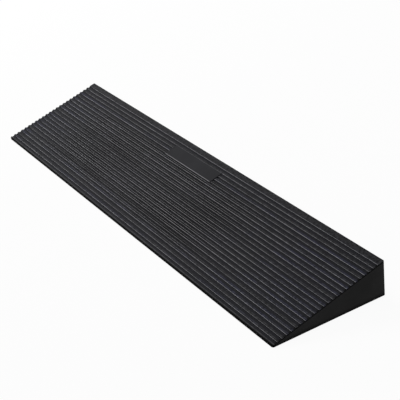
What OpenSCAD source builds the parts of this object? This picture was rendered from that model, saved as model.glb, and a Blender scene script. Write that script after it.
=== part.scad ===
// Solid rubber threshold ramp: a moulded wedge with a ribbed tread, a plain plate
// let into the tread, and strips of fixing tape let into the base.
// X runs along the ramp, Y from the front lip to the back face, Z up from the floor.
// The origin is on the floor, at the middle of the base.

/* [Ramp] */
// Length of the ramp along the threshold
ramp_length = 1000; // [500:10:1500]
// Depth from the front lip to the back face
ramp_depth = 220; // [160:5:400]
// Height of the tread at the back face, before that edge is rounded
ramp_rise = 65; // [40:1:120]
// Height of the blunt lip at the front
lip_height = 4; // [3:0.5:8]
// Radius of the long edge at the top of the lip
lip_radius = 1.5; // [0.5:0.25:2.5]
// Radius of the long edge at the top of the back face
back_edge_radius = 2; // [1:0.5:6]
// Radius of the long edge at the foot of the back face
foot_edge_radius = 2; // [0.5:0.5:5]
// Radius of the upright corners, seen from above
corner_radius = 4; // [0.5:0.5:8]

/* [Tread] */
// Distance from one groove to the next, along the slope
groove_pitch = 9.3; // [7.5:0.1:14]
// Width of a groove between the lands
groove_width = 4.9; // [3:0.1:6]
// Depth of a groove, square to the slope
groove_depth = 1.6; // [1.5:0.1:3.5]
// Radius in the bottom corners of a groove
groove_floor_radius = 0.8; // [0.3:0.1:1.2]
// Radius along both edges of a land
land_edge_radius = 0.6; // [0.3:0.1:1]
// Plain band of tread between the front lip and the first groove
front_band = 4.5; // [4:0.5:30]
// Least width of the plain band of tread behind the last groove
back_band = 11; // [8:0.5:30]

/* [Plate] */
// Length of the plain plate along the ramp
plate_length = 164; // [60:2:300]
// Distance of the plate's middle from the ramp's middle, towards -X
plate_offset = 18; // [0:1:100]
// Number of lands that the plate takes the place of
plate_land_count = 3; // [2:1:8]
// How far the plate reaches out over the groove in front of those lands
plate_reach = 1.5; // [0:0.1:2]
// Height of the plate's top above the lands
plate_proud = 0.5; // [0.2:0.1:2]
// Radius of the plate's corners, seen from above
plate_corner_radius = 2; // [0.5:0.5:6]
// Radius round the plate's top edge
plate_edge_radius = 0.6; // [0.2:0.1:1]
// Gap between an end of the plate and the lands that stop beside it
plate_end_gap = 1; // [0.5:0.5:10]
// Gap between the plate and the land that runs behind it
plate_back_gap = 0.3; // [0.2:0.1:1]
// How far the plate's pocket goes below the groove floors
pocket_sink = 0.3; // [0.2:0.1:1]
// Thickness of the adhesive film that holds the plate
film_thickness = 0.2; // [0.1:0.05:0.5]
// How far the film stops short of the plate's edge
film_margin = 2.5; // [1:0.5:6]

/* [Fixing tape] */
// Width of a strip of tape
tape_width = 25; // [15:1:35]
// Thickness of the tape
tape_thickness = 0.8; // [0.5:0.1:1.5]
// Thickness of the liner that covers the tape until it is used
liner_thickness = 0.2; // [0.1:0.05:0.4]
// Distance from each end of the ramp to the tape
tape_end_margin = 40; // [15:5:100]
// Distance from the lip to the front strip
tape_front_margin = 18; // [12:1:30]
// Distance from the back face to the rear strip
tape_back_margin = 18; // [10:1:30]
// Gap round a strip in its rebate
tape_clearance = 0.5; // [0.2:0.1:1]

/* [Hidden] */

$fn = 48;

// How far a cutting shape reaches past the surface that it cuts
overcut = 2;

// The slope, measured from the top of the lip to the top of the back face
slope_rise = ramp_rise - lip_height;
slope_angle = atan2(slope_rise, ramp_depth);
slope_length = norm([ramp_depth, slope_rise]);

// Grooves fill the slope between the two plain bands, and the last of them is a whole one
groove_room = slope_length - front_band - back_band - groove_width;
groove_count = floor(groove_room / groove_pitch) + 1;
function groove_front(i) = front_band + i * groove_pitch;
function groove_back(i) = groove_front(i) + groove_width;

// The plate reaches back to the land in front of the last groove
last_groove = groove_count - 1;
plate_back = groove_back(last_groove - 1);
plate_front = plate_back - plate_land_count * groove_pitch - plate_reach;
plate_depth = plate_back - plate_front;
pocket_depth = groove_depth + pocket_sink;
plate_front_gap = (groove_width - plate_reach) / 2;
plate_thickness = pocket_depth - film_thickness + plate_proud;

// Strips of tape: one near the lip, one near the back face and one halfway
tape_length = ramp_length - 2 * tape_end_margin;
front_row = -ramp_depth / 2 + tape_front_margin + tape_width / 2;
rear_row = ramp_depth / 2 - tape_back_margin - tape_width / 2;
middle_row = (front_row + rear_row) / 2;
rebate_depth = tape_thickness + liner_thickness;

rubber_colour = [0.15, 0.15, 0.16];
plate_colour = [0.2, 0.2, 0.21];
film_colour = [0.75, 0.75, 0.7];
tape_colour = [0.28, 0.28, 0.28];
liner_colour = [0.9, 0.88, 0.8];

// What is left outside a round of radius r, at a corner whose two sides leave the
// origin along +X and down -Y
module square_edge_cut(r) {
    difference() {
        translate([0, -r])
            square([r, r + overcut]);
        translate([r, -r])
            circle(r);
    }
}

// The same at a corner of any angle: its sides leave the origin at angles side_a and side_b
module corner_cut(r, side_a, side_b) {
    half_angle = (side_b - side_a) / 2;
    middle = side_a + half_angle;
    along = r / tan(half_angle);
    centre = r / sin(half_angle) * [cos(middle), sin(middle)];
    difference() {
        polygon([
            centre,
            along * [cos(side_a), sin(side_a)],
            -overcut * [cos(middle), sin(middle)],
            along * [cos(side_b), sin(side_b)]
        ]);
        translate(centre)
            circle(r);
    }
}

// Rectangle about the origin with round corners
module round_rectangle(size, r) {
    square([size.x - 2 * r, size.y], center = true);
    square([size.x, size.y - 2 * r], center = true);
    for (x = [-1, 1], y = [-1, 1])
        translate([x * (size.x / 2 - r), y * (size.y / 2 - r)])
            circle(r);
}

// Rectangle on the X axis, about the Y axis, with its two top corners rounded
module soft_topped_section(width, height, r) {
    difference() {
        translate([-width / 2, 0])
            square([width, height]);
        for (side = [0, 1])
            mirror([side, 0])
                translate([-width / 2, height])
                    square_edge_cut(r);
    }
}

// One groove, with its back edge at the origin and the tread along the X axis
module groove_section() {
    difference() {
        translate([-groove_width, -groove_depth])
            square([groove_width, groove_depth + overcut]);
        translate([-groove_width, -groove_depth])
            corner_cut(groove_floor_radius, 0, 90);
        translate([0, -groove_depth])
            corner_cut(groove_floor_radius, 90, 180);
    }
    square_edge_cut(land_edge_radius);
    translate([-groove_width, 0])
        mirror([1, 0])
            square_edge_cut(land_edge_radius);
}

// The wedge seen from its end, with every groove
module tread_section() {
    difference() {
        polygon([
            [-ramp_depth / 2, 0],
            [ramp_depth / 2, 0],
            [ramp_depth / 2, ramp_rise],
            [-ramp_depth / 2, lip_height]
        ]);
        translate([-ramp_depth / 2, lip_height])
            corner_cut(lip_radius, -90, slope_angle);
        translate([ramp_depth / 2, ramp_rise])
            corner_cut(back_edge_radius, 180 + slope_angle, 270);
        translate([ramp_depth / 2, 0])
            corner_cut(foot_edge_radius, 90, 180);
        translate([-ramp_depth / 2, lip_height])
            rotate(slope_angle)
                for (i = [0 : last_groove])
                    translate([groove_back(i), 0])
                        groove_section();
    }
}

// Stands a section up and draws it out along the ramp, about the ramp's middle
module along_ramp(length) {
    translate([-length / 2, 0, 0])
        rotate([90, 0, 90])
            linear_extrude(length)
                children();
}

// Puts a shape on the slope: Y then runs up the slope from the lip and Z square to it
module on_slope() {
    translate([0, -ramp_depth / 2, lip_height])
        rotate([slope_angle, 0, 0])
            children();
}

// Puts a shape at the middle of the plate, at a height above the tread
module at_plate(height) {
    on_slope()
        translate([-plate_offset, (plate_front + plate_back) / 2, height])
            children();
}

// Recess in the tread round the plate, from the open part of a groove to the land behind the plate
module plate_pocket() {
    pocket_length = plate_length + 2 * plate_end_gap;
    pocket_width = plate_front_gap + plate_depth + plate_back_gap;
    at_plate(-pocket_depth)
        translate([-pocket_length / 2, -plate_depth / 2 - plate_front_gap])
            linear_extrude(pocket_depth + overcut)
                square([pocket_length, pocket_width]);
}

// Shallow rebate in the base for one strip of tape
module tape_rebate(row) {
    translate([0, row, -overcut])
        linear_extrude(overcut + rebate_depth)
            square([tape_length + 2 * tape_clearance, tape_width + 2 * tape_clearance], center = true);
}

// One strip in a rebate, from one height above the floor to another
module strip(row, bottom, top) {
    translate([0, row, bottom])
        linear_extrude(top - bottom)
            square([tape_length, tape_width], center = true);
}

module ramp_body() {
    color(rubber_colour)
        difference() {
            intersection() {
                along_ramp(ramp_length)
                    tread_section();
                linear_extrude(ramp_rise)
                    round_rectangle([ramp_length, ramp_depth], corner_radius);
            }
            plate_pocket();
            for (row = [front_row, middle_row, rear_row])
                tape_rebate(row);
        }
}

module blank_plate() {
    color(plate_colour)
        at_plate(film_thickness - pocket_depth)
            intersection() {
                linear_extrude(plate_thickness)
                    round_rectangle([plate_length, plate_depth], plate_corner_radius);
                along_ramp(plate_length)
                    soft_topped_section(plate_depth, plate_thickness, plate_edge_radius);
                rotate(90)
                    along_ramp(plate_depth)
                        soft_topped_section(plate_length, plate_thickness, plate_edge_radius);
            }
}

module plate_adhesive() {
    color(film_colour)
        at_plate(-pocket_depth)
            linear_extrude(film_thickness)
                square([plate_length - 2 * film_margin, plate_depth - 2 * film_margin], center = true);
}

module tape(row) {
    color(tape_colour)
        strip(row, liner_thickness, rebate_depth);
}

module liner(row) {
    color(liner_colour)
        strip(row, 0, liner_thickness);
}

ramp_body();
blank_plate();
plate_adhesive();
tape(front_row);  // front_tape
tape(middle_row);  // middle_tape
tape(rear_row);  // rear_tape
liner(front_row);  // front_liner
liner(middle_row);  // middle_liner
liner(rear_row);  // rear_liner
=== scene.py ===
"""Looks of a threshold ramp: a moulded rubber wedge, the plain plate in its tread and its fixing tape.

All sizes are in metres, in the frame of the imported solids: X runs along the ramp, Y from the
front lip to the back face and Z up from the floor.
"""

import logging
import math
from collections.abc import Callable, Iterator
from contextlib import contextmanager
from dataclasses import dataclass
from enum import Enum

import bmesh
import bpy
from mathutils import Matrix, Vector

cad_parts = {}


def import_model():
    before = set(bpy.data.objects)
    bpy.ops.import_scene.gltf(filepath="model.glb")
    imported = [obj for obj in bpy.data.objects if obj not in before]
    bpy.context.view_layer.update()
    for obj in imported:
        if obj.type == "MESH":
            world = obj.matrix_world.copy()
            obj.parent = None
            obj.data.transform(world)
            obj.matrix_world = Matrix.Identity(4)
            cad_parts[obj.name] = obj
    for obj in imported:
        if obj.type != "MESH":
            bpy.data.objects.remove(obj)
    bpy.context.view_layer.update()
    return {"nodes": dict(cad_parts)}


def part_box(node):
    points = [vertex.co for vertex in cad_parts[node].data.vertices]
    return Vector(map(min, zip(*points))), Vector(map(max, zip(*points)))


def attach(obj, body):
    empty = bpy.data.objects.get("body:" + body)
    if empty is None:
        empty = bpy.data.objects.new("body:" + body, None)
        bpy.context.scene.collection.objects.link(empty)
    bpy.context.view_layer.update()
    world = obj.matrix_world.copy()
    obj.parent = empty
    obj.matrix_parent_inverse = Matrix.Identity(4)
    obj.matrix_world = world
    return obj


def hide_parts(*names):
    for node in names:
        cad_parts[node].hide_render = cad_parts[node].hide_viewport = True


log = logging.getLogger("threshold_ramp")

MM = 0.001
ROOT_BODY = "root"

# How much of a direction of length 1 lies along an axis, at least, for it to count as along it
ALONG_AXIS = 0.9
# The angle, in degrees, above which an edge stays sharp
SHARP_ANGLE = 32.0

Colour = tuple[float, float, float]
Range = tuple[float, float]
Element = bmesh.types.BMEdge | bmesh.types.BMFace
Socket = bpy.types.NodeSocket
Sockets = bpy.types.NodeOutputs


class Pick(Enum):
    """What a selection in edit mode is made of."""

    EDGES = "EDGE"
    FACES = "FACE"


class Cut(Enum):
    """What a cutting shape does to the piece that it meets."""

    AWAY = "DIFFERENCE"
    TO_SHAPE = "INTERSECT"


class Strip(Enum):
    """The strips of fixing tape in the base."""

    FRONT = "front"
    MIDDLE = "middle"
    REAR = "rear"


@dataclass(frozen=True)
class Rounding:
    """The round on an edge: its radius, and how many flats it is made of."""

    radius: float = 0.0
    flats: int = 0


def select_only(piece: bpy.types.Object) -> None:
    """Makes one object the active and only selected one.

    Args:
        piece: The object to select.
    """
    bpy.ops.object.select_all(action="DESELECT")
    piece.select_set(True)
    bpy.context.view_layer.objects.active = piece


@contextmanager
def editing(piece: bpy.types.Object) -> Iterator[None]:
    """Opens a piece in edit mode and closes it again.

    Args:
        piece: The mesh object to edit.

    Yields:
        Nothing: the operators act on what is selected in the piece.
    """
    select_only(piece)
    bpy.ops.object.mode_set(mode="EDIT")
    yield
    bpy.ops.object.mode_set(mode="OBJECT")


def pick(piece: bpy.types.Object, kind: Pick, wanted: Callable[[Element], bool]) -> None:
    """Selects the edges or faces that pass a test, and nothing else.

    Args:
        piece: A piece that is open in edit mode.
        kind: What to select.
        wanted: The test on one element.
    """
    bpy.ops.mesh.select_mode(type=kind.value)
    bpy.ops.mesh.select_all(action="DESELECT")
    mesh = bmesh.from_edit_mesh(piece.data)
    for element in mesh.edges if kind is Pick.EDGES else mesh.faces:
        if wanted(element):
            element.select_set(True)
    mesh.select_flush_mode()
    bmesh.update_edit_mesh(piece.data)


def stands_up(edge: bmesh.types.BMEdge) -> bool:
    """Tells whether an edge runs along its piece's own Z."""
    return abs((edge.verts[0].co - edge.verts[1].co).normalized().z) > ALONG_AXIS


def round_edges(rounding: Rounding) -> None:
    """Rounds the edges that are selected in edit mode."""
    bpy.ops.mesh.bevel(offset=rounding.radius, segments=rounding.flats, affect="EDGES")


@dataclass(frozen=True)
class Block:
    """A box: its sides, the place of its middle and how it is turned."""

    name: str
    size: Vector
    place: Matrix

    def build(self) -> bpy.types.Object:
        """Adds the box with its size in its mesh, ready to be shaped.

        Returns:
            The box, still at its place as an object.
        """
        bpy.ops.object.select_all(action="DESELECT")
        bpy.ops.mesh.primitive_cube_add(
            size=1.0, location=self.place.to_translation(), rotation=self.place.to_euler()
        )
        piece = bpy.context.object
        piece.name = self.name
        piece.scale = self.size
        bpy.ops.object.transform_apply(location=False, rotation=False, scale=True)
        return piece


def settle(piece: bpy.types.Object) -> None:
    """Moves a piece's place from its object into its mesh.

    Args:
        piece: The object that is left at the origin.
    """
    select_only(piece)
    bpy.ops.object.transform_apply(location=True, rotation=True, scale=True)


def cut(piece: bpy.types.Object, cutter: bpy.types.Object, way: Cut) -> None:
    """Cuts a piece with another and deletes the cutter.

    Args:
        piece: The piece that is kept.
        cutter: The closed shape that cuts it.
        way: Whether the cutter is taken away or is the shape to keep.
    """
    select_only(piece)
    bpy.ops.object.modifier_add(type="BOOLEAN")
    modifier = piece.modifiers[-1]
    modifier.operation = way.value
    modifier.solver = "EXACT"
    modifier.object = cutter
    bpy.ops.object.modifier_apply(modifier=modifier.name)
    select_only(cutter)
    bpy.ops.object.delete()


def smooth(piece: bpy.types.Object) -> None:
    """Shades the rounds of a piece smooth and keeps its flats flat.

    Args:
        piece: The piece to shade.
    """
    select_only(piece)
    bpy.ops.object.shade_smooth_by_angle(angle=math.radians(SHARP_ANGLE))
    bpy.ops.object.modifier_add(type="WEIGHTED_NORMAL")
    modifier = piece.modifiers[-1]
    modifier.keep_sharp = True
    bpy.ops.object.modifier_apply(modifier=modifier.name)


@dataclass(frozen=True)
class Noise:
    """A noise: the size of its largest features, how many finer layers it has and their strength."""

    size: float
    detail: float
    rough: float = 0.5


class Graph:
    """A material and the nodes that are added to it."""

    def __init__(self, name: str) -> None:
        """Starts a material with one Principled shader.

        Args:
            name: The material's name.
        """
        self.material = bpy.data.materials.new(name)
        self.material.use_nodes = True
        self.tree = self.material.node_tree
        self.shader = self.tree.nodes["Principled BSDF"]

    def add(self, kind: str, inputs: dict | None = None, **settings: object) -> bpy.types.Node:
        """Adds a node.

        Args:
            kind: The node's type.
            inputs: Its inputs by name or number, each a value or another node's output.
            settings: The node's own settings.

        Returns:
            The node.
        """
        node = self.tree.nodes.new(kind)
        for name, value in settings.items():
            setattr(node, name, value)
        for socket, value in (inputs or {}).items():
            self.set(node.inputs[socket], value)
        return node

    def set(self, socket: Socket, value: object) -> None:
        """Links an output to a socket, or sets the socket's own value.

        Args:
            socket: The input.
            value: An output, a number, a colour or a vector.
        """
        if isinstance(value, Socket):
            self.tree.links.new(value, socket)
        elif socket.type == "RGBA":
            socket.default_value = (*value, 1.0)
        else:
            socket.default_value = value

    def maths(self, operation: str, *values: object) -> Socket:
        """Adds a Math node and returns its output."""
        node = self.add("ShaderNodeMath", dict(enumerate(values)), operation=operation)
        return node.outputs[0]

    def product(self, first: object, *others: object) -> Socket:
        """Multiplies values with one another.

        Args:
            first: A number or an output.
            others: The values that it is multiplied by, one after another.

        Returns:
            Their product.
        """
        result = first
        for other in others:
            result = self.maths("MULTIPLY", result, other)
        return result

    def mean(self, first: Socket, second: Socket) -> Socket:
        """Adds the mean of two values, and returns its output."""
        return self.maths("MULTIPLY", self.maths("ADD", first, second), 0.5)

    def fade(self, value: object, start: float, end: float) -> Socket:
        """Adds a smooth step.

        Args:
            value: What is compared.
            start: Where the result is 0.
            end: Where the result is 1.

        Returns:
            The step's output.
        """
        inputs = {"Value": value, "From Min": start, "From Max": end}
        node = self.add("ShaderNodeMapRange", inputs, interpolation_type="SMOOTHSTEP")
        return node.outputs[0]

    def about(self, value: Socket, middle: float, full: float, none: float) -> Socket:
        """Finds what is close to a place along one axis.

        Args:
            value: The coordinate.
            middle: The place.
            full: How far from it the result is 1.
            none: How far from it the result is 0.

        Returns:
            A share from 0 to 1.
        """
        apart = self.maths("ABSOLUTE", self.maths("SUBTRACT", value, middle))
        return self.fade(apart, none, full)

    def spread(self, value: object, low: float, high: float) -> Socket:
        """Adds a linear change of a value from 0..1 to low..high, and returns its output."""
        inputs = {"Value": value, "To Min": low, "To Max": high}
        return self.add("ShaderNodeMapRange", inputs).outputs[0]

    def mix(self, share: object, first: object, second: object) -> Socket:
        """Adds a mix of two colours.

        Args:
            share: How much of the second colour shows.
            first: The colour at 0.
            second: The colour at 1.

        Returns:
            The mixed colour.
        """
        node = self.add("ShaderNodeMix", data_type="RGBA")
        inputs = [socket for socket in node.inputs if socket.enabled]
        for socket, value in zip(inputs, (share, first, second), strict=True):
            self.set(socket, value)
        return next(socket for socket in node.outputs if socket.enabled)

    def scale(self, colour: Socket, factor: Socket) -> Socket:
        """Adds a product of a colour and a number, and returns its output."""
        inputs = {0: colour, "Scale": factor}
        return self.add("ShaderNodeVectorMath", inputs, operation="SCALE").outputs[0]

    def noise(self, vector: object, kind: Noise) -> Socket:
        """Adds a noise.

        Args:
            vector: The coordinates.
            kind: The noise's size and layers.

        Returns:
            The noise, about 0.5 on average.
        """
        inputs = {
            "Vector": vector,
            "Scale": 1.0 / kind.size,
            "Detail": kind.detail,
            "Roughness": kind.rough,
        }
        return self.add("ShaderNodeTexNoise", inputs).outputs["Fac"]

    def relief(self, height: object, depth: float, under: object = None) -> Socket:
        """Adds a bump.

        Args:
            height: The height, from 0 to 1.
            depth: What a height of 1 measures.
            under: A bump that this one lies on.

        Returns:
            The bent normal.
        """
        inputs = {"Height": height, "Distance": depth, "Strength": 1.0}
        if under is not None:
            inputs["Normal"] = under
        return self.add("ShaderNodeBump", inputs).outputs["Normal"]

    def place(self) -> Socket:
        """Adds the Object coordinates, and returns their output."""
        return self.add("ShaderNodeTexCoord").outputs["Object"]

    def on_slope(self, place: Socket, tread: "Tread") -> Sockets:
        """Turns Object coordinates into places on the slope.

        Args:
            place: The Object coordinates.
            tread: The slope.

        Returns:
            X along the ramp, Y up the slope from the lip and Z square to the slope.
        """
        inputs = {
            "Vector": place,
            "Location": (0.0, -tread.depth / 2, tread.lip),
            "Rotation": (tread.angle, 0.0, 0.0),
        }
        turned = self.add("ShaderNodeMapping", inputs, vector_type="TEXTURE").outputs[0]
        return self.add("ShaderNodeSeparateXYZ", {"Vector": turned}).outputs

    def finish(self, **values: object) -> bpy.types.Material:
        """Sets the shader's inputs.

        Args:
            values: A value or an output for each input, named with _ for a space.

        Returns:
            The material.
        """
        for name, value in values.items():
            self.set(self.shader.inputs[name.replace("_", " ")], value)
        return self.material


@dataclass(frozen=True)
class Tread:
    """The sloping tread: where its grooves are, measured up the slope from the top of the lip."""

    depth: float
    rise: float = 65.0 * MM
    lip: float = 4.0 * MM
    front_band: float = 4.5 * MM
    pitch: float = 9.3 * MM
    groove_width: float = 4.9 * MM
    groove_depth: float = 1.6 * MM
    groove_count: int = 23
    plate_lands: int = 3
    plate_reach: float = 1.5 * MM

    @property
    def angle(self) -> float:
        """The slope's angle to the floor, in radians."""
        return math.atan2(self.rise - self.lip, self.depth)

    @property
    def matrix(self) -> Matrix:
        """Turns a place on the slope (along, up the slope, square to it) into the ramp's frame."""
        foot = Matrix.Translation((0.0, -self.depth / 2, self.lip))
        return foot @ Matrix.Rotation(self.angle, 4, "X")

    def groove(self, number: int) -> Range:
        """Gives where a groove starts and ends.

        Args:
            number: The groove, counted from 0 at the lip.

        Returns:
            Its front edge and its back edge, up the slope.
        """
        front = self.front_band + number * self.pitch
        return front, front + self.groove_width

    def below(self, shares: Range) -> Range:
        """Turns two shares of a groove's depth into heights from the tops of the lands."""
        return -shares[0] * self.groove_depth, -shares[1] * self.groove_depth

    @property
    def plate_span(self) -> Range:
        """Where the plate's front and back edges are, up the slope."""
        back = self.groove(self.groove_count - 2)[1]
        return back - self.plate_lands * self.pitch - self.plate_reach, back


@dataclass(frozen=True)
class PlateSeat:
    """The plate and the pocket that it stands in."""

    tread: Tread
    middle: float
    length: float
    proud: float = 0.5 * MM
    sink: float = 0.3 * MM
    film: float = 0.2 * MM
    end_gap: float = 1.0 * MM
    back_gap: float = 0.3 * MM
    overcut: float = 2.0 * MM

    @property
    def floor(self) -> float:
        """The height of the pocket's floor, from the tops of the lands."""
        return -self.tread.groove_depth - self.sink

    @property
    def plate(self) -> Block:
        """The plate before its edges are rounded."""
        heights = (self.floor + self.film, self.proud)
        return self._block("plain_plate", self.length, self.tread.plate_span, heights)

    @property
    def pocket(self) -> Block:
        """The shape that cuts the pocket.

        Returns:
            A block from the open part of a groove to the land behind the plate.
        """
        front, back = self.tread.plate_span
        front_gap = (self.tread.groove_width - self.tread.plate_reach) / 2
        length = self.length + 2 * self.end_gap
        span = (front - front_gap, back + self.back_gap)
        return self._block("plate_pocket", length, span, (self.floor, self.overcut))

    def _block(self, name: str, length: float, span: Range, heights: Range) -> Block:
        """Makes a block at the plate's place along the ramp.

        Args:
            name: The block's name.
            length: Its size along the ramp.
            span: Where it starts and ends, up the slope.
            heights: The heights of its underside and its top, from the tops of the lands.

        Returns:
            The block, in the ramp's frame.
        """
        middle = Vector((self.middle, sum(span) / 2, sum(heights) / 2))
        size = Vector((length, span[1] - span[0], heights[1] - heights[0]))
        return Block(name, size, self.tread.matrix @ Matrix.Translation(middle))


@dataclass(frozen=True)
class TreadPoint:
    """What the moulded rubber's finish reads at a point of the ramp.

    The noises are a broad one, one drawn out along the ramp and a fine one. The last value is a
    number from 0 to 1 for each rib.
    """

    graph: Graph
    place: Socket
    slope: Sockets
    cloud: Socket
    streak: Socket
    speck: Socket
    batch: Socket


@dataclass(frozen=True)
class WheelRun:
    """Where wheels run: patches about the middle of the tread."""

    tread: Tread
    length: float

    # In shares of the length and depth: the middle, then how far from it wheels run fully and not at all
    middle: float = -0.08
    along: Range = (0.20, 0.38)
    up: Range = (0.26, 0.44)

    # What noise makes the patches, and the share that is left between them
    patches: Range = (0.35, 0.65)
    least: float = 0.7

    def share(self, point: TreadPoint) -> Socket:
        """Finds how much wheels run at a point.

        Args:
            point: The point.

        Returns:
            A share from 0 to 1.
        """
        graph, depth = point.graph, self.tread.depth
        full, none = (share * self.length for share in self.along)
        along = graph.about(point.slope["X"], self.middle * self.length, full, none)
        full, none = (share * depth for share in self.up)
        up = graph.about(point.slope["Y"], depth / 2, full, none)
        patchy = graph.spread(graph.fade(point.cloud, *self.patches), self.least, 1.0)
        return graph.product(along, up, patchy)


@dataclass(frozen=True)
class EdgeHighlights:
    """Painted highlights along the lands' edges: front edges all along, back edges where wheels run."""

    seat: PlateSeat
    length: float

    # The width of a painted edge highlight and, as shares of it, how far into the land its middle is
    # and how far from there it is full
    width: float = 0.65 * MM
    inset_share: float = 0.125
    full_share: float = 0.25

    # How far down the painted highlight reaches, in groove depths, and how much a back edge gets where
    # wheels run
    foot: Range = (0.6, 0.2)
    back_share: float = 0.95

    # The band in front of the first groove: where its painted highlight lies, in shares of its width,
    # and how much
    band_middle: float = 0.8
    band_reach: Range = (0.08, 0.42)
    band_share: float = 0.09

    # How the painted highlight varies with the streaks, the ribs and the specks, and where along the
    # ramp it would be none and is full, in shares of the length
    streaks: Range = (0.3, 0.7)
    streak_range: Range = (0.65, 1.0)
    batch_range: Range = (0.68, 1.28)
    speck_range: Range = (0.7, 1.3)
    lengthwise: Range = (1.4, 0.1)

    # Where the painted highlight fades: at the left end, at the right end and behind the plate
    left_fade: float = 36.0 * MM
    right_fade: float = 2.0 * MM
    plate_fade: float = 2.0 * MM
    behind_reach: Range = (1.5 * MM, 2.0 * MM)
    behind_share: float = 0.45

    def share(self, point: TreadPoint, run: Socket) -> Socket:
        """Finds how strong the painted edge highlight is at a point.

        Args:
            point: The point.
            run: How much wheels run there.

        Returns:
            A share, 0 where no highlight is painted.
        """
        graph, tread = point.graph, self.seat.tread
        top = graph.fade(point.slope["Z"], *tread.below(self.foot))
        streak = graph.spread(graph.fade(point.streak, *self.streaks), *self.streak_range)
        batch = graph.spread(point.batch, *self.batch_range)
        start, end = (share * self.length for share in self.lengthwise)
        along = graph.fade(point.slope["X"], start, end)
        amount = graph.product(streak, batch, along, self._highlight_strength(point))
        speck = graph.spread(point.speck, *self.speck_range)
        return graph.product(self._edges(point, run), top, amount, speck)

    def _edges(self, point: TreadPoint, run: Socket) -> Socket:
        """Finds the edges that get the painted highlight.

        Args:
            point: The point.
            run: How much wheels run there.

        Returns:
            A share from 0 to 1.
        """
        graph, tread = point.graph, self.seat.tread
        inset = self.inset_share * self.width
        groove_front, groove_back = tread.groove(0)
        front = self._near(point, groove_back + inset)
        back = self._near(point, groove_front - inset)
        back = graph.product(back, graph.product(run, self.back_share))
        full, none = (share * tread.front_band for share in self.band_reach)
        band = graph.about(point.slope["Y"], self.band_middle * tread.front_band, full, none)
        lands = graph.maths("MAXIMUM", front, back)
        return graph.maths("MAXIMUM", lands, graph.product(band, self.band_share))

    def _near(self, point: TreadPoint, edge: float) -> Socket:
        """Finds what is close to one edge of any land.

        Args:
            point: The point.
            edge: Where that edge of the first land is, up the slope.

        Returns:
            1 at the edge, falling to 0 beside it.
        """
        graph, tread = point.graph, self.seat.tread
        place = graph.maths("SUBTRACT", point.slope["Y"], edge)
        place = graph.maths("DIVIDE", place, tread.pitch)
        land = graph.maths("MAXIMUM", graph.maths("ROUND", place), 0.0)
        land = graph.maths("MINIMUM", land, tread.groove_count - 1.0)
        apart = graph.maths("ABSOLUTE", graph.maths("SUBTRACT", place, land))
        width = self.width / tread.pitch
        return graph.fade(apart, width, self.full_share * width)

    def _highlight_strength(self, point: TreadPoint) -> Socket:
        """Finds how strong the painted highlight on the edges is: less at the ends of the ramp, and
        behind the plate.

        Args:
            point: The point.

        Returns:
            A share from 0 to 1.
        """
        graph, along = point.graph, point.slope["X"]
        half, plate_half = self.length / 2, self.seat.length / 2
        left = graph.fade(along, -half, self.left_fade - half)
        right = graph.fade(along, half, half - self.right_fade)
        beside = graph.about(along, self.seat.middle, plate_half, plate_half + self.plate_fade)
        plate_back = self.seat.tread.plate_span[1]
        behind = graph.about(point.slope["Y"], plate_back, *self.behind_reach)
        covered = graph.product(beside, behind)
        return graph.product(left, right, graph.spread(covered, 1.0, self.behind_share))


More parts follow.
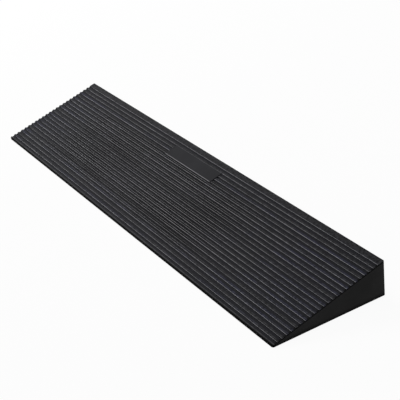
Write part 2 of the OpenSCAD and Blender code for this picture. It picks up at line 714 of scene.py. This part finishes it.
@dataclass(frozen=True)
class MouldedRubber:
    """Black moulded rubber, dark where wheels run, with painted highlights on the lands' edges and
    painted shade in grooves, lip and foot.
    """

    seat: PlateSeat
    length: float

    # Colours of the upright faces, of the lip and the grooves (painted shade), of the lands and of the
    # painted edge highlight
    side: Colour = (0.0360, 0.0360, 0.0360)
    shade: Colour = (0.0270, 0.0270, 0.0270)
    # Painted shade: near-black for the lip and for the upright faces near the floor
    lip: Colour = (0.0020, 0.0020, 0.0020)
    # Painted shade: the grooves are coloured darker than the lands
    groove: Colour = (0.0102, 0.0102, 0.0126)
    # Dark wheel dirt, also used for the painted shade at the groove ends and on the back band
    trodden_and_shade: Colour = (0.0012, 0.0012, 0.0015)
    dark: Colour = (0.0184, 0.0184, 0.0200)
    pale: Colour = (0.0242, 0.0242, 0.0258)
    blue: Colour = (0.0180, 0.0186, 0.0310)
    # Painted highlight: the pale colour laid along the lands' edges
    painted_highlight: Colour = (0.35, 0.35, 0.368)

    roughness: Range = (0.50, 0.66)
    rubbed_roughness: float = 0.40
    specular: float = 0.015

    # Noises: the streaks are drawn out along the ramp, and the grain and the dimples have a depth
    cloud: Noise = Noise(90 * MM, 3.0)
    streak: Noise = Noise(7 * MM, 3.0, 0.6)
    streak_squeeze: float = 0.06
    speck: Noise = Noise(4.5 * MM, 2.0, 0.6)
    specks: Range = (0.25, 0.75)
    grain: Noise = Noise(1.1 * MM, 4.0, 0.62)
    grain_depth: float = 0.03 * MM
    dimple: Noise = Noise(4.5 * MM, 2.0)
    dimple_depth: float = 0.05 * MM

    # Lands: what makes them pale or blue, how much specks change them and how dark the back band is
    pale_clouds: Range = (0.3, 0.7)
    pale_streaks: Range = (0.25, 0.75)
    blue_batches: Range = (0.2, 0.9)
    blue_clouds: Range = (0.62, 0.42)
    blue_share: float = 0.80
    speck_range: Range = (0.4, 1.6)
    back_band_fade: float = 2.0 * MM
    back_band_shade: float = 0.16

    # Grooves: how dark wheels make them, and how far from the ramp's ends shade is painted in them
    groove_run_share: float = 0.6
    end_shade_reach: Range = (6.0 * MM, 2.0 * MM)

    # Upright faces: what noise makes them pale, and how far up and how dark the shade painted near the
    # floor is
    side_clouds: Range = (0.35, 0.65)
    foot_shade_reach: float = 9.0 * MM
    foot_shade_share: float = 0.7

    # Where the grooves and the lands start, in groove depths, and where the lip's painted shade ends
    groove_foot: Range = (1.6, 1.1)
    land_foot: Range = (0.7, 0.2)
    lip_shade_fade: Range = (3.4 * MM, 1.2 * MM)

    @property
    def tread(self) -> Tread:
        """The slope that carries the lands."""
        return self.seat.tread

    def material(self) -> bpy.types.Material:
        """Makes the material.

        Returns:
            A material on Object coordinates.
        """
        graph = Graph("moulded_rubber")
        point = self._point(graph)
        run = WheelRun(self.tread, self.length).share(point)
        # The pale lines on the lands' edges are painted highlights; the same share also lowers the
        # roughness
        edge_highlight = EdgeHighlights(self.seat, self.length).share(point, run)
        grain = graph.noise(point.place, self.grain)
        dimple = graph.noise(point.place, self.dimple)
        matt = graph.spread(graph.mean(grain, point.cloud), *self.roughness)
        shine = graph.product(edge_highlight, self.roughness[1] - self.rubbed_roughness)
        return graph.finish(
            Base_Color=graph.mix(edge_highlight, self._under_highlight(point, run), self.painted_highlight),
            Roughness=graph.maths("SUBTRACT", matt, shine),
            Specular_IOR_Level=self.specular,
            Normal=graph.relief(grain, self.grain_depth, graph.relief(dimple, self.dimple_depth)),
        )

    def _point(self, graph: Graph) -> TreadPoint:
        """Adds the coordinates and the noises that the finish reads.

        Args:
            graph: The material's nodes.

        Returns:
            Their outputs.
        """
        place = graph.place()
        squeeze = {"Vector": place, "Scale": (self.streak_squeeze, 1.0, 1.0)}
        squeezed = graph.add("ShaderNodeMapping", squeeze).outputs[0]
        slope = graph.on_slope(place, self.tread)
        rib = graph.maths("SUBTRACT", slope["Y"], self.tread.front_band)
        rib = graph.maths("FLOOR", graph.maths("DIVIDE", rib, self.tread.pitch))
        batch = graph.add("ShaderNodeTexWhiteNoise", {"W": rib}, noise_dimensions="1D")
        return TreadPoint(
            graph=graph,
            place=place,
            slope=slope,
            cloud=graph.noise(place, self.cloud),
            streak=graph.noise(squeezed, self.streak),
            speck=graph.fade(graph.noise(place, self.speck), *self.specks),
            batch=batch.outputs[0],
        )

    def _under_highlight(self, point: TreadPoint, run: Socket) -> Socket:
        """Finds the rubber's colour under the painted edge highlight.

        Args:
            point: The point.
            run: How much wheels run there.

        Returns:
            The colour.
        """
        graph, height = point.graph, point.slope["Z"]
        in_groove = graph.fade(height, *self.tread.below(self.groove_foot))
        on_land = graph.fade(height, *self.tread.below(self.land_foot))
        # The grooves get their colour of painted shade
        colour = graph.mix(in_groove, self._side(point), self._groove(point, run))
        colour = graph.mix(on_land, colour, self._land(point, run))
        # The lip's face and the front of the band are painted near-black as shade
        return graph.mix(graph.fade(point.slope["Y"], *self.lip_shade_fade), colour, self.lip)

    def _side(self, point: TreadPoint) -> Socket:
        """Finds the colour of the upright faces.

        Args:
            point: The point.

        Returns:
            The colour, with shade painted on near the floor.
        """
        graph = point.graph
        side = graph.mix(graph.fade(point.cloud, *self.side_clouds), self.shade, self.side)
        height = graph.add("ShaderNodeSeparateXYZ", {"Vector": point.place}).outputs["Z"]
        # Shade painted on the upright faces near the floor
        foot = graph.product(graph.fade(height, self.foot_shade_reach, 0.0), self.foot_shade_share)
        return graph.mix(foot, side, self.lip)

    def _groove(self, point: TreadPoint, run: Socket) -> Socket:
        """Finds the colour of the grooves, dark as painted shade.

        Args:
            point: The point.
            run: How much wheels run there.

        Returns:
            The colour, darker where wheels run and with more painted shade at the ends of the ramp.
        """
        graph = point.graph
        start, end = (self.length / 2 - reach for reach in self.end_shade_reach)
        # Painted shade in the grooves near the ends of the ramp
        end_shade = graph.fade(graph.maths("ABSOLUTE", point.slope["X"]), start, end)
        dirt_and_shade = graph.maths("MAXIMUM", graph.product(run, self.groove_run_share), end_shade)
        return graph.mix(dirt_and_shade, self.groove, self.trodden_and_shade)

    def _land(self, point: TreadPoint, run: Socket) -> Socket:
        """Finds the colour of the lands.

        Args:
            point: The point.
            run: How much wheels run there.

        Returns:
            The colour, speckled, with a blue cast on some ribs and darker where wheels run.
        """
        graph = point.graph
        pale_cloud = graph.fade(point.cloud, *self.pale_clouds)
        pale_streak = graph.fade(point.streak, *self.pale_streaks)
        land = graph.mix(graph.product(pale_cloud, pale_streak), self.dark, self.pale)
        blue_batch = graph.fade(point.batch, *self.blue_batches)
        blue_cloud = graph.fade(point.cloud, *self.blue_clouds)
        land = graph.mix(graph.product(blue_batch, blue_cloud, self.blue_share), land, self.blue)
        land = graph.mix(run, land, self.trodden_and_shade)
        land = graph.scale(land, graph.spread(point.speck, *self.speck_range))
        band_start = self.tread.groove(self.tread.groove_count - 1)[1]
        band = graph.fade(point.slope["Y"], band_start, band_start + self.back_band_fade)
        return graph.mix(graph.product(band, self.back_band_shade), land, self.trodden_and_shade)


@dataclass(frozen=True)
class SmoothRubber:
    """Plain matte rubber sheet, with a painted highlight along the plate's front and back edges."""

    seat: PlateSeat
    dark: Colour = (0.0152, 0.0152, 0.0172)
    pale: Colour = (0.0186, 0.0186, 0.0208)
    pale_clouds: Range = (0.3, 0.7)
    # Painted highlight: the pale colour laid along the plate's edges
    painted_highlight: Colour = (0.26, 0.26, 0.275)
    highlight_range: Range = (0.7, 1.1)
    roughness: Range = (0.54, 0.62)
    specular: float = 0.015
    edge_width: float = 1.2 * MM
    back_share: float = 0.1
    cloud: Noise = Noise(40 * MM, 3.0)
    grain: Noise = Noise(0.7 * MM, 3.0, 0.6)
    grain_depth: float = 0.03 * MM

    def material(self) -> bpy.types.Material:
        """Makes the material.

        Returns:
            A material on Object coordinates.
        """
        graph = Graph("smooth_rubber")
        place = graph.place()
        cloud = graph.noise(place, self.cloud)
        grain = graph.noise(place, self.grain)
        edge_highlight = graph.product(self._rim(graph, place), graph.spread(cloud, *self.highlight_range))
        base = graph.mix(graph.fade(cloud, *self.pale_clouds), self.dark, self.pale)
        return graph.finish(
            Base_Color=graph.mix(edge_highlight, base, self.painted_highlight),
            Roughness=graph.spread(graph.mean(cloud, grain), *self.roughness),
            Specular_IOR_Level=self.specular,
            Normal=graph.relief(grain, self.grain_depth),
        )

    def _rim(self, graph: Graph, place: Socket) -> Socket:
        """Finds the plate's front and back edges, where the highlight is painted.

        Args:
            graph: The material's nodes.
            place: The Object coordinates.

        Returns:
            A share from 0 to 1, less at the back edge.
        """
        slope = graph.on_slope(place, self.seat.tread)
        front, back = self.seat.tread.plate_span
        none, full = self.edge_width, self.edge_width / 2
        lead = graph.fade(slope["Y"], front + none, front + full)
        trail = graph.fade(slope["Y"], back - none, back - full)
        top = graph.fade(slope["Z"], self.seat.proud - none, self.seat.proud - full)
        rim = graph.maths("MAXIMUM", lead, graph.product(trail, self.back_share))
        return graph.product(rim, top)


@dataclass(frozen=True)
class StripFinish:
    """A thin sheet with a fine grain: foam tape, its liner or a film of adhesive."""

    name: str
    dark: Colour
    pale: Colour
    roughness: float
    grain: Noise
    grain_depth: float
    pale_grains: Range = (0.3, 0.7)
    roughness_swing: float = 0.06

    def material(self) -> bpy.types.Material:
        """Makes the material.

        Returns:
            A material on Object coordinates.
        """
        graph = Graph(self.name)
        grain = graph.noise(graph.place(), self.grain)
        least, most = self.roughness - self.roughness_swing, self.roughness + self.roughness_swing
        return graph.finish(
            Base_Color=graph.mix(graph.fade(grain, *self.pale_grains), self.dark, self.pale),
            Roughness=graph.spread(grain, least, most),
            Normal=graph.relief(grain, self.grain_depth),
        )


FOAM_TAPE = StripFinish(
    name="foam_tape",
    dark=(0.045, 0.045, 0.045),
    pale=(0.075, 0.075, 0.075),
    roughness=0.85,
    grain=Noise(0.6 * MM, 3.0, 0.6),
    grain_depth=0.10 * MM,
)
WAXED_LINER = StripFinish(
    name="waxed_liner",
    dark=(0.72, 0.69, 0.60),
    pale=(0.80, 0.77, 0.69),
    roughness=0.34,
    grain=Noise(3.0 * MM, 3.0, 0.6),
    grain_depth=0.02 * MM,
)
CLEAR_ADHESIVE = StripFinish(
    name="clear_adhesive",
    dark=(0.52, 0.52, 0.47),
    pale=(0.64, 0.64, 0.59),
    roughness=0.30,
    grain=Noise(2.0 * MM, 3.0, 0.6),
    grain_depth=0.02 * MM,
)


@dataclass(frozen=True)
class Corner:
    """A corner of a section, and how it is rounded."""

    place: Vector
    rounding: Rounding = Rounding()


@dataclass
class SectionPen:
    """Draws a closed section with round corners, in a plane square to X."""

    name: str
    corners: list[Corner]

    def draw(self) -> bpy.types.Object:
        """Draws the section from corner to corner and fills it.

        Returns:
            A flat mesh object.
        """
        bpy.ops.object.select_all(action="DESELECT")
        bpy.ops.mesh.primitive_plane_add(size=MM)
        piece = bpy.context.object
        piece.name = self.name
        start = self.corners[0]
        following = [*self.corners[2:], start]
        with editing(piece):
            bpy.ops.mesh.select_all(action="SELECT")
            bpy.ops.mesh.merge(type="CENTER")
            bpy.ops.transform.translate(value=start.place)
            pen = start.place
            for before, corner, after in zip(self.corners, self.corners[1:], following):
                pen = self._turn(pen, before.place, corner, after.place)
            bpy.ops.mesh.select_all(action="SELECT")
            bpy.ops.mesh.edge_face_add()
        return piece

    def _turn(self, pen: Vector, before: Vector, corner: Corner, after: Vector) -> Vector:
        """Draws the line to a corner and the round at it.

        Args:
            pen: Where the last line ended.
            before: The corner before this one.
            corner: The corner to draw.
            after: The corner after it.

        Returns:
            Where the round ends.
        """
        place, radius = corner.place, corner.rounding.radius
        back, on = (before - place).normalized(), (after - place).normalized()
        half = back.angle(on) / 2
        reach = radius / math.tan(half)
        travel = place + back * reach - pen
        bpy.ops.mesh.extrude_region_move(TRANSFORM_OT_translate={"value": travel})
        if not corner.rounding.flats:
            return place
        bpy.ops.mesh.spin(
            steps=corner.rounding.flats,
            angle=math.copysign(math.pi - 2 * half, back.cross(on).x),
            center=place + (back + on).normalized() * radius / math.sin(half),
            axis=(1.0, 0.0, 0.0),
        )
        return place + on * reach


@dataclass
class RampMoulding:
    """The rubber wedge with its grooves, the pocket for the plate and the rebates for the tape."""

    seat: PlateSeat
    length: float
    rebates: list[Block]
    lip_edge: Rounding = Rounding(1.5 * MM, 6)
    back_edge: Rounding = Rounding(2.0 * MM, 10)
    foot_edge: Rounding = Rounding(2.0 * MM, 6)
    upright_corner: Rounding = Rounding(4.0 * MM, 8)
    land_edge: Rounding = Rounding(0.6 * MM, 4)
    groove_corner: Rounding = Rounding(0.8 * MM, 3)
    end_radius: float = 0.5 * MM

    # The block that the wedge is trimmed to: its slack on each side, and its height in rises
    trim_slack: float = 0.01 * MM
    trim_rises: float = 3.0

    @property
    def tread(self) -> Tread:
        """The slope that the wedge carries."""
        return self.seat.tread

    def build(self) -> bpy.types.Object:
        """Models the wedge.

        Returns:
            The finished mesh object, at the origin.
        """
        piece = SectionPen("ramp_moulding", self._section()).draw()
        self._draw_out(piece)
        cut(piece, self._round_block(), Cut.TO_SHAPE)
        for block in (self.seat.pocket, *self.rebates):
            cutter = block.build()
            settle(cutter)
            cut(piece, cutter, Cut.AWAY)
        smooth(piece)
        return piece

    def dress(self, piece: bpy.types.Object) -> None:
        """Gives the wedge its finish and its place in the part.

        Args:
            piece: The wedge.
        """
        piece.data.materials.append(MouldedRubber(self.seat, self.length).material())
        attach(piece, ROOT_BODY)
        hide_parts("ramp_body")

    def _section(self) -> list[Corner]:
        """Lists the corners of the wedge's section, at the start of the round on its left end.

        Returns:
            The corners in order, from the foot of the lip.
        """
        x, half = -self.length / 2 + self.end_radius, self.tread.depth / 2
        to_ramp, floor = self.tread.matrix, -self.tread.groove_depth
        corners = [
            Corner(Vector((x, -half, 0.0))),
            Corner(Vector((x, -half, self.tread.lip)), self.lip_edge),
        ]
        for number in range(self.tread.groove_count):
            front, back = self.tread.groove(number)
            corners += [
                Corner(to_ramp @ Vector((x, front, 0.0)), self.land_edge),
                Corner(to_ramp @ Vector((x, front, floor)), self.groove_corner),
                Corner(to_ramp @ Vector((x, back, floor)), self.groove_corner),
                Corner(to_ramp @ Vector((x, back, 0.0)), self.land_edge),
            ]
        return [
            *corners,
            Corner(Vector((x, half, self.tread.rise)), self.back_edge),
            Corner(Vector((x, half, 0.0)), self.foot_edge),
        ]

    def _draw_out(self, piece: bpy.types.Object) -> None:
        """Draws the section out to the ramp's length and rounds the edges of both ends.

        Args:
            piece: The section.
        """
        arc = math.sqrt(0.5)
        near, far = (1.0 - arc) * self.end_radius, arc * self.end_radius
        with editing(piece):
            bpy.ops.mesh.select_all(action="SELECT")
            travel = Vector((self.length - 2 * self.end_radius, 0.0, 0.0))
            bpy.ops.mesh.extrude_region_move(TRANSFORM_OT_translate={"value": travel})
            bpy.ops.mesh.select_all(action="SELECT")
            bpy.ops.mesh.normals_make_consistent(inside=False)
            pick(piece, Pick.FACES, lambda face: abs(face.normal.x) > ALONG_AXIS)
            bpy.ops.mesh.inset(thickness=near, depth=far, use_even_offset=True)
            bpy.ops.mesh.inset(thickness=far, depth=near, use_even_offset=True)

    def _round_block(self) -> bpy.types.Object:
        """Makes the block with round upright corners that the wedge is trimmed to.

        Returns:
            The block, a hair longer and deeper than the ramp's own box, and taller.
        """
        margin = 2 * self.trim_slack
        height = self.trim_rises * self.tread.rise
        size = Vector((self.length + margin, self.tread.depth + margin, height))
        block = Block("round_corners", size, Matrix.Identity(4)).build()
        with editing(block):
            pick(block, Pick.EDGES, stands_up)
            round_edges(self.upright_corner)
        return block


@dataclass
class BlankPlate:
    """The plain rubber plate that stands in the pocket in the tread."""

    seat: PlateSeat
    corner: Rounding = Rounding(2.0 * MM, 6)
    top_edge: Rounding = Rounding(0.6 * MM, 4)

    def build(self) -> bpy.types.Object:
        """Models the plate.

        Returns:
            The finished mesh object, at the origin.
        """
        piece = self.seat.plate.build()
        with editing(piece):
            pick(piece, Pick.EDGES, stands_up)
            round_edges(self.corner)
            pick(piece, Pick.FACES, lambda face: face.normal.z > ALONG_AXIS)
            bpy.ops.mesh.region_to_loop()
            round_edges(self.top_edge)
        settle(piece)
        smooth(piece)
        return piece

    def dress(self, piece: bpy.types.Object) -> None:
        """Gives the plate its finish and its place in the part.

        Args:
            piece: The plate.
        """
        piece.data.materials.append(SmoothRubber(self.seat).material())
        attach(piece, ROOT_BODY)
        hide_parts("blank_plate")


@dataclass
class HiddenLayers:
    """The adhesive under the plate, and the tape and liners in the base, all shaped as packed."""

    nodes: dict[str, bpy.types.Object]

    def dress(self) -> None:
        """Gives each of these nodes its finish."""
        tape, liner = FOAM_TAPE.material(), WAXED_LINER.material()
        self._paint("plate_adhesive", CLEAR_ADHESIVE.material())
        for strip in Strip:
            self._paint(f"{strip.value}_tape", tape)
            self._paint(f"{strip.value}_liner", liner)

    def _paint(self, node: str, material: bpy.types.Material) -> None:
        """Puts a material in every slot of a node.

        Args:
            node: The node's name.
            material: Its finish.
        """
        piece = self.nodes[node]
        for slot in piece.material_slots:
            slot.material = material
        log.info("%s: %s", node, material.name)


def hang(lamp: bpy.types.Light, place: Vector, towards: Vector) -> None:
    """Puts a lamp in the scene.

    Args:
        lamp: The lamp.
        place: Where it hangs.
        towards: The direction from what it lights to the lamp.
    """
    thing = bpy.data.objects.new(lamp.name, lamp)
    bpy.context.scene.collection.objects.link(thing)
    thing.location = place
    thing.rotation_euler = towards.to_track_quat("Z", "Y").to_euler()


@dataclass(frozen=True)
class SkyLamp:
    """A broad far lamp, which lights both ends of the ramp alike."""

    name: str
    towards: Vector
    breadth: float
    level: float

    def build(self) -> None:
        """Adds the lamp; at level 1 a white sheet that faces it shows white."""
        lamp = bpy.data.lights.new(self.name, "SUN")
        lamp.angle = math.radians(self.breadth)
        lamp.energy = math.pi * self.level
        hang(lamp, Vector((0.0, 0.0, 0.0)), self.towards)


@dataclass(frozen=True)
class PanelLamp:
    """A round panel near the ramp, which lights the closer end more."""

    name: str
    place: Vector
    diameter: float
    level: float

    def build(self) -> None:
        """Adds the lamp; at level 1 a white sheet at the origin that faces it shows white."""
        lamp = bpy.data.lights.new(self.name, "AREA")
        lamp.shape = "DISK"
        lamp.size = self.diameter
        lamp.energy = self.level * (math.pi * self.place.length) ** 2
        hang(lamp, self.place, self.place)


@dataclass(frozen=True)
class Studio:
    """A floor that shows white with a faint shadow, and soft light from above and from the left."""

    floor_side: float = 14.0
    floor_drop: float = 0.3 * MM
    floor_colour: Colour = (0.5, 0.5, 0.5)
    floor_roughness: float = 0.9
    shadow_share: float = 0.06
    surround: float = 0.22
    lamps: tuple[SkyLamp | PanelLamp, ...] = (
        SkyLamp("overhead_light", Vector((0.0, 0.25, 1.0)), breadth=70.0, level=0.45),
        PanelLamp("left_light", Vector((-2.8, -0.1, 2.3)), diameter=1.7, level=1.1),
    )

    def build(self) -> None:
        """Adds the floor, the surround and the lamps."""
        self._floor()
        self._world()
        for lamp in self.lamps:
            lamp.build()

    def _floor(self) -> None:
        """Adds the floor."""
        bpy.ops.object.select_all(action="DESELECT")
        bpy.ops.mesh.primitive_plane_add(size=self.floor_side, location=(0.0, 0.0, -self.floor_drop))
        floor = bpy.context.object
        floor.name = "studio_floor"
        floor.data.materials.append(self._floor_finish())

    def _floor_finish(self) -> bpy.types.Material:
        """Makes the floor's material.

        Returns:
            A grey floor that is seen, and mirrored, as white.
        """
        graph = Graph("studio_floor")
        graph.finish(
            Base_Color=self.floor_colour, Roughness=self.floor_roughness, Specular_IOR_Level=0.0
        )
        path = graph.add("ShaderNodeLightPath").outputs
        mirrored = graph.maths("MAXIMUM", path["Is Glossy Ray"], path["Is Transmission Ray"])
        seen = graph.maths("MAXIMUM", path["Is Camera Ray"], mirrored)
        share = graph.product(seen, 1.0 - self.shadow_share)
        white = graph.add("ShaderNodeEmission", {"Color": (1.0, 1.0, 1.0), "Strength": 1.0})
        shaders = {0: share, 1: graph.shader.outputs[0], 2: white.outputs[0]}
        mixed = graph.add("ShaderNodeMixShader", shaders)
        graph.set(graph.tree.nodes["Material Output"].inputs["Surface"], mixed.outputs[0])
        return graph.material

    def _world(self) -> None:
        """Makes the even grey surround."""
        world = bpy.data.worlds.new("studio_surround")
        world.use_nodes = True
        background = world.node_tree.nodes["Background"].inputs
        background["Color"].default_value = (1.0, 1.0, 1.0, 1.0)
        background["Strength"].default_value = self.surround
        bpy.context.scene.world = world


@dataclass(frozen=True)
class PhotoCamera:
    """The camera: it stands to the right of the ramp's front, above it, and is tilted a little."""

    azimuth: float = 61.32
    elevation: float = 28.41
    tilt: float = -6.79
    distance: float = 2.1135
    lens_mm: float = 100.47
    sensor_mm: float = 36.0
    aim_right: float = 0.06037
    aim_up: float = 0.00797

    def build(self) -> None:
        """Adds the camera and makes it the scene's own."""
        angles = (self.azimuth, self.elevation, self.tilt)
        turn, lift, roll = (math.radians(angle) for angle in angles)
        out = math.cos(lift)
        back = Vector((math.sin(turn) * out, -math.cos(turn) * out, math.sin(lift)))
        level = Vector((math.cos(turn), math.sin(turn), 0.0))
        upright = back.cross(level)
        right = math.cos(roll) * level + math.sin(roll) * upright
        up = -math.sin(roll) * level + math.cos(roll) * upright
        lens = bpy.data.cameras.new("photo_camera")
        lens.lens = self.lens_mm
        lens.sensor_width = self.sensor_mm
        camera = bpy.data.objects.new("photo_camera", lens)
        bpy.context.scene.collection.objects.link(camera)
        place = back * self.distance + right * self.aim_right + up * self.aim_up
        axes = Matrix((right, up, back)).transposed().to_4x4()
        camera.matrix_world = Matrix.Translation(place) @ axes
        bpy.context.scene.camera = camera


def tape_rebate(strip: Strip, gap: float = 0.5 * MM) -> Block:
    """Works out the rebate in the base for one strip of tape.

    Args:
        strip: The strip.
        gap: The space left round it.

    Returns:
        The shape that cuts the rebate, half of it below the floor.
    """
    low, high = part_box(f"{strip.value}_tape")
    size = high - low + Vector((2 * gap, 2 * gap, 0.0))
    size.z = 2 * high.z
    middle = (low + high) / 2
    middle.z = 0.0
    return Block(f"{strip.value}_rebate", size, Matrix.Translation(middle))


def main() -> None:
    """Builds the ramp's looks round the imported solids."""
    logging.basicConfig(level=logging.INFO, format="%(name)s: %(message)s")
    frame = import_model()

    low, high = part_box("ramp_body")
    tread = Tread(depth=high.y - low.y)
    plate_low, plate_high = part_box("blank_plate")
    seat = PlateSeat(tread, (plate_low.x + plate_high.x) / 2, plate_high.x - plate_low.x)
    rebates = [tape_rebate(strip) for strip in Strip]

    for assembly in (RampMoulding(seat, high.x - low.x, rebates), BlankPlate(seat)):
        piece = assembly.build()
        assembly.dress(piece)
        log.info("%s: %d faces", piece.name, len(piece.data.polygons))
    HiddenLayers(frame["nodes"]).dress()

    Studio().build()
    PhotoCamera().build()
    bpy.context.scene.view_settings.view_transform = "Standard"


if __name__ == "__main__":
    main()
